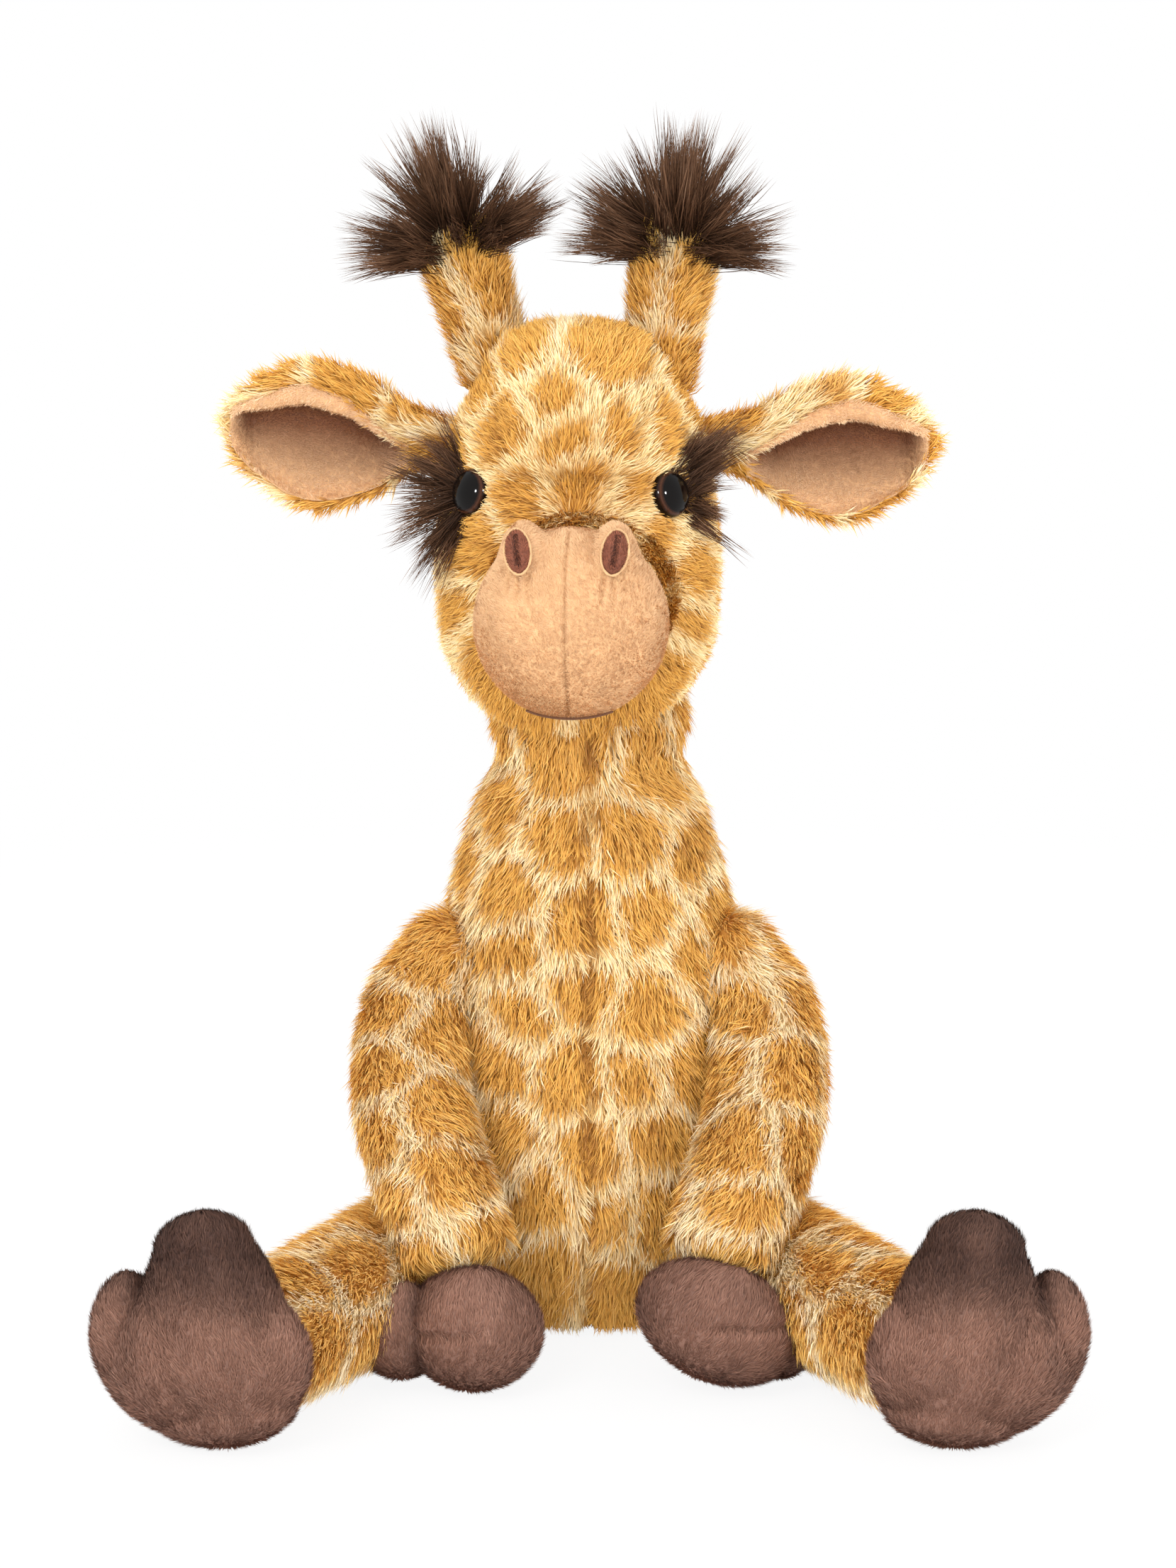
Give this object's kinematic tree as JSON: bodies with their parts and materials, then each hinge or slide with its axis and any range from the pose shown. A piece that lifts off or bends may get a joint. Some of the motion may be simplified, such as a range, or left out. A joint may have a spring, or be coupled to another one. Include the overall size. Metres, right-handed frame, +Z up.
{
  "type": "plush giraffe",
  "caption": "Seated plush giraffe with spotted long-pile fur, short-plush muzzle, ears and hooves, tufted horns and sewn limbs that swing.",
  "frame": {"origin": "a point of the seat panel's underside, midway between the two sides, on the surface that the toy sits on", "axes": "+Z up, -Y the way the toy faces, +X the toy's own left"},
  "size_m": [0.306, 0.2982, 0.3899],
  "materials": {
    "spotted_fur": "long pile, caramel patches on cream",
    "short_plush": "short pile, peach",
    "hoof_plush": "short pile, mauve brown",
    "long_hair": "long straight pile, dark brown with lighter tips",
    "nostril_plush": "short pile, red brown",
    "stitch_thread": "satin thread",
    "eye_plastic": "gloss, black pupil in a brown ring",
    "washer_plastic": "matt, unseen",
    "bag_linen": "plain weave, unseen"
  },
  "bodies": {
    "torso": {"torso": "spotted_fur", "seat_panel": "spotted_fur", "seat_pellet_bag": "bag_linen", "mane_neck": "long_hair"},
    "head": {"head": "spotted_fur", "muzzle": "short_plush", "nostril_left": "nostril_plush", "nostril_right": "nostril_plush", "mouth_stitch": "stitch_thread", "eye_left": "eye_plastic", "eye_right": "eye_plastic", "eye_washer_left": "washer_plastic", "eye_washer_right": "washer_plastic", "lash_tuft_left": "long_hair", "lash_tuft_right": "long_hair", "horn_left": "spotted_fur", "horn_right": "spotted_fur", "horn_tuft_left": "long_hair", "horn_tuft_right": "long_hair", "mane_head": "long_hair"},
    "ear_left": {"ear_left": "spotted_fur", "ear_lining_left": "short_plush"},
    "ear_right": {"ear_right": "spotted_fur", "ear_lining_right": "short_plush"},
    "arm_left": {"arm_left": "spotted_fur", "hoof_left": "hoof_plush"},
    "arm_right": {"arm_right": "spotted_fur", "hoof_right": "hoof_plush"},
    "leg_left": {"leg_left": "spotted_fur", "foot_left": "hoof_plush", "foot_pellet_bag_left": "bag_linen"},
    "leg_right": {"leg_right": "spotted_fur", "foot_right": "hoof_plush", "foot_pellet_bag_right": "bag_linen"},
    "tail": {"tail": "spotted_fur", "tail_tuft": "long_hair"}
  },
  "joints": [
    {"name": "head_nod", "type": "hinge", "parent": "torso", "child": "head", "pos_m": [0, 0.004, 0.2], "axis": [0.9969, -0.0785, 0], "range_deg": [-15, 15]},
    {"name": "ear_left_flop", "type": "hinge", "parent": "head", "child": "ear_left", "pos_m": [0.03938, 0.0009, 0.292], "axis": [0.0785, 0.9969, 0], "range_deg": [-20, 15]},
    {"name": "ear_right_flop", "type": "hinge", "parent": "head", "child": "ear_right", "pos_m": [-0.04636, 0.00765, 0.292], "axis": [-0.0785, -0.9969, 0], "range_deg": [-20, 15]},
    {"name": "arm_left_swing", "type": "hinge", "parent": "torso", "child": "arm_left", "pos_m": [0.047, -0.008, 0.122], "axis": [-1, 0, 0], "range_deg": [0, 60]},
    {"name": "arm_right_swing", "type": "hinge", "parent": "torso", "child": "arm_right", "pos_m": [-0.047, -0.008, 0.122], "axis": [-1, 0, 0], "range_deg": [0, 60]},
    {"name": "leg_left_spread", "type": "hinge", "parent": "torso", "child": "leg_left", "pos_m": [0.046, -0.014, 0.025], "axis": [0, 0, 1], "range_deg": [0, 30]},
    {"name": "leg_right_spread", "type": "hinge", "parent": "torso", "child": "leg_right", "pos_m": [-0.046, -0.014, 0.025], "axis": [0, 0, -1], "range_deg": [0, 30]},
    {"name": "tail_swing", "type": "hinge", "parent": "torso", "child": "tail", "pos_m": [0, 0.0545, 0.032], "axis": [0, 0, 1], "range_deg": [-35, 35]}
  ]
}
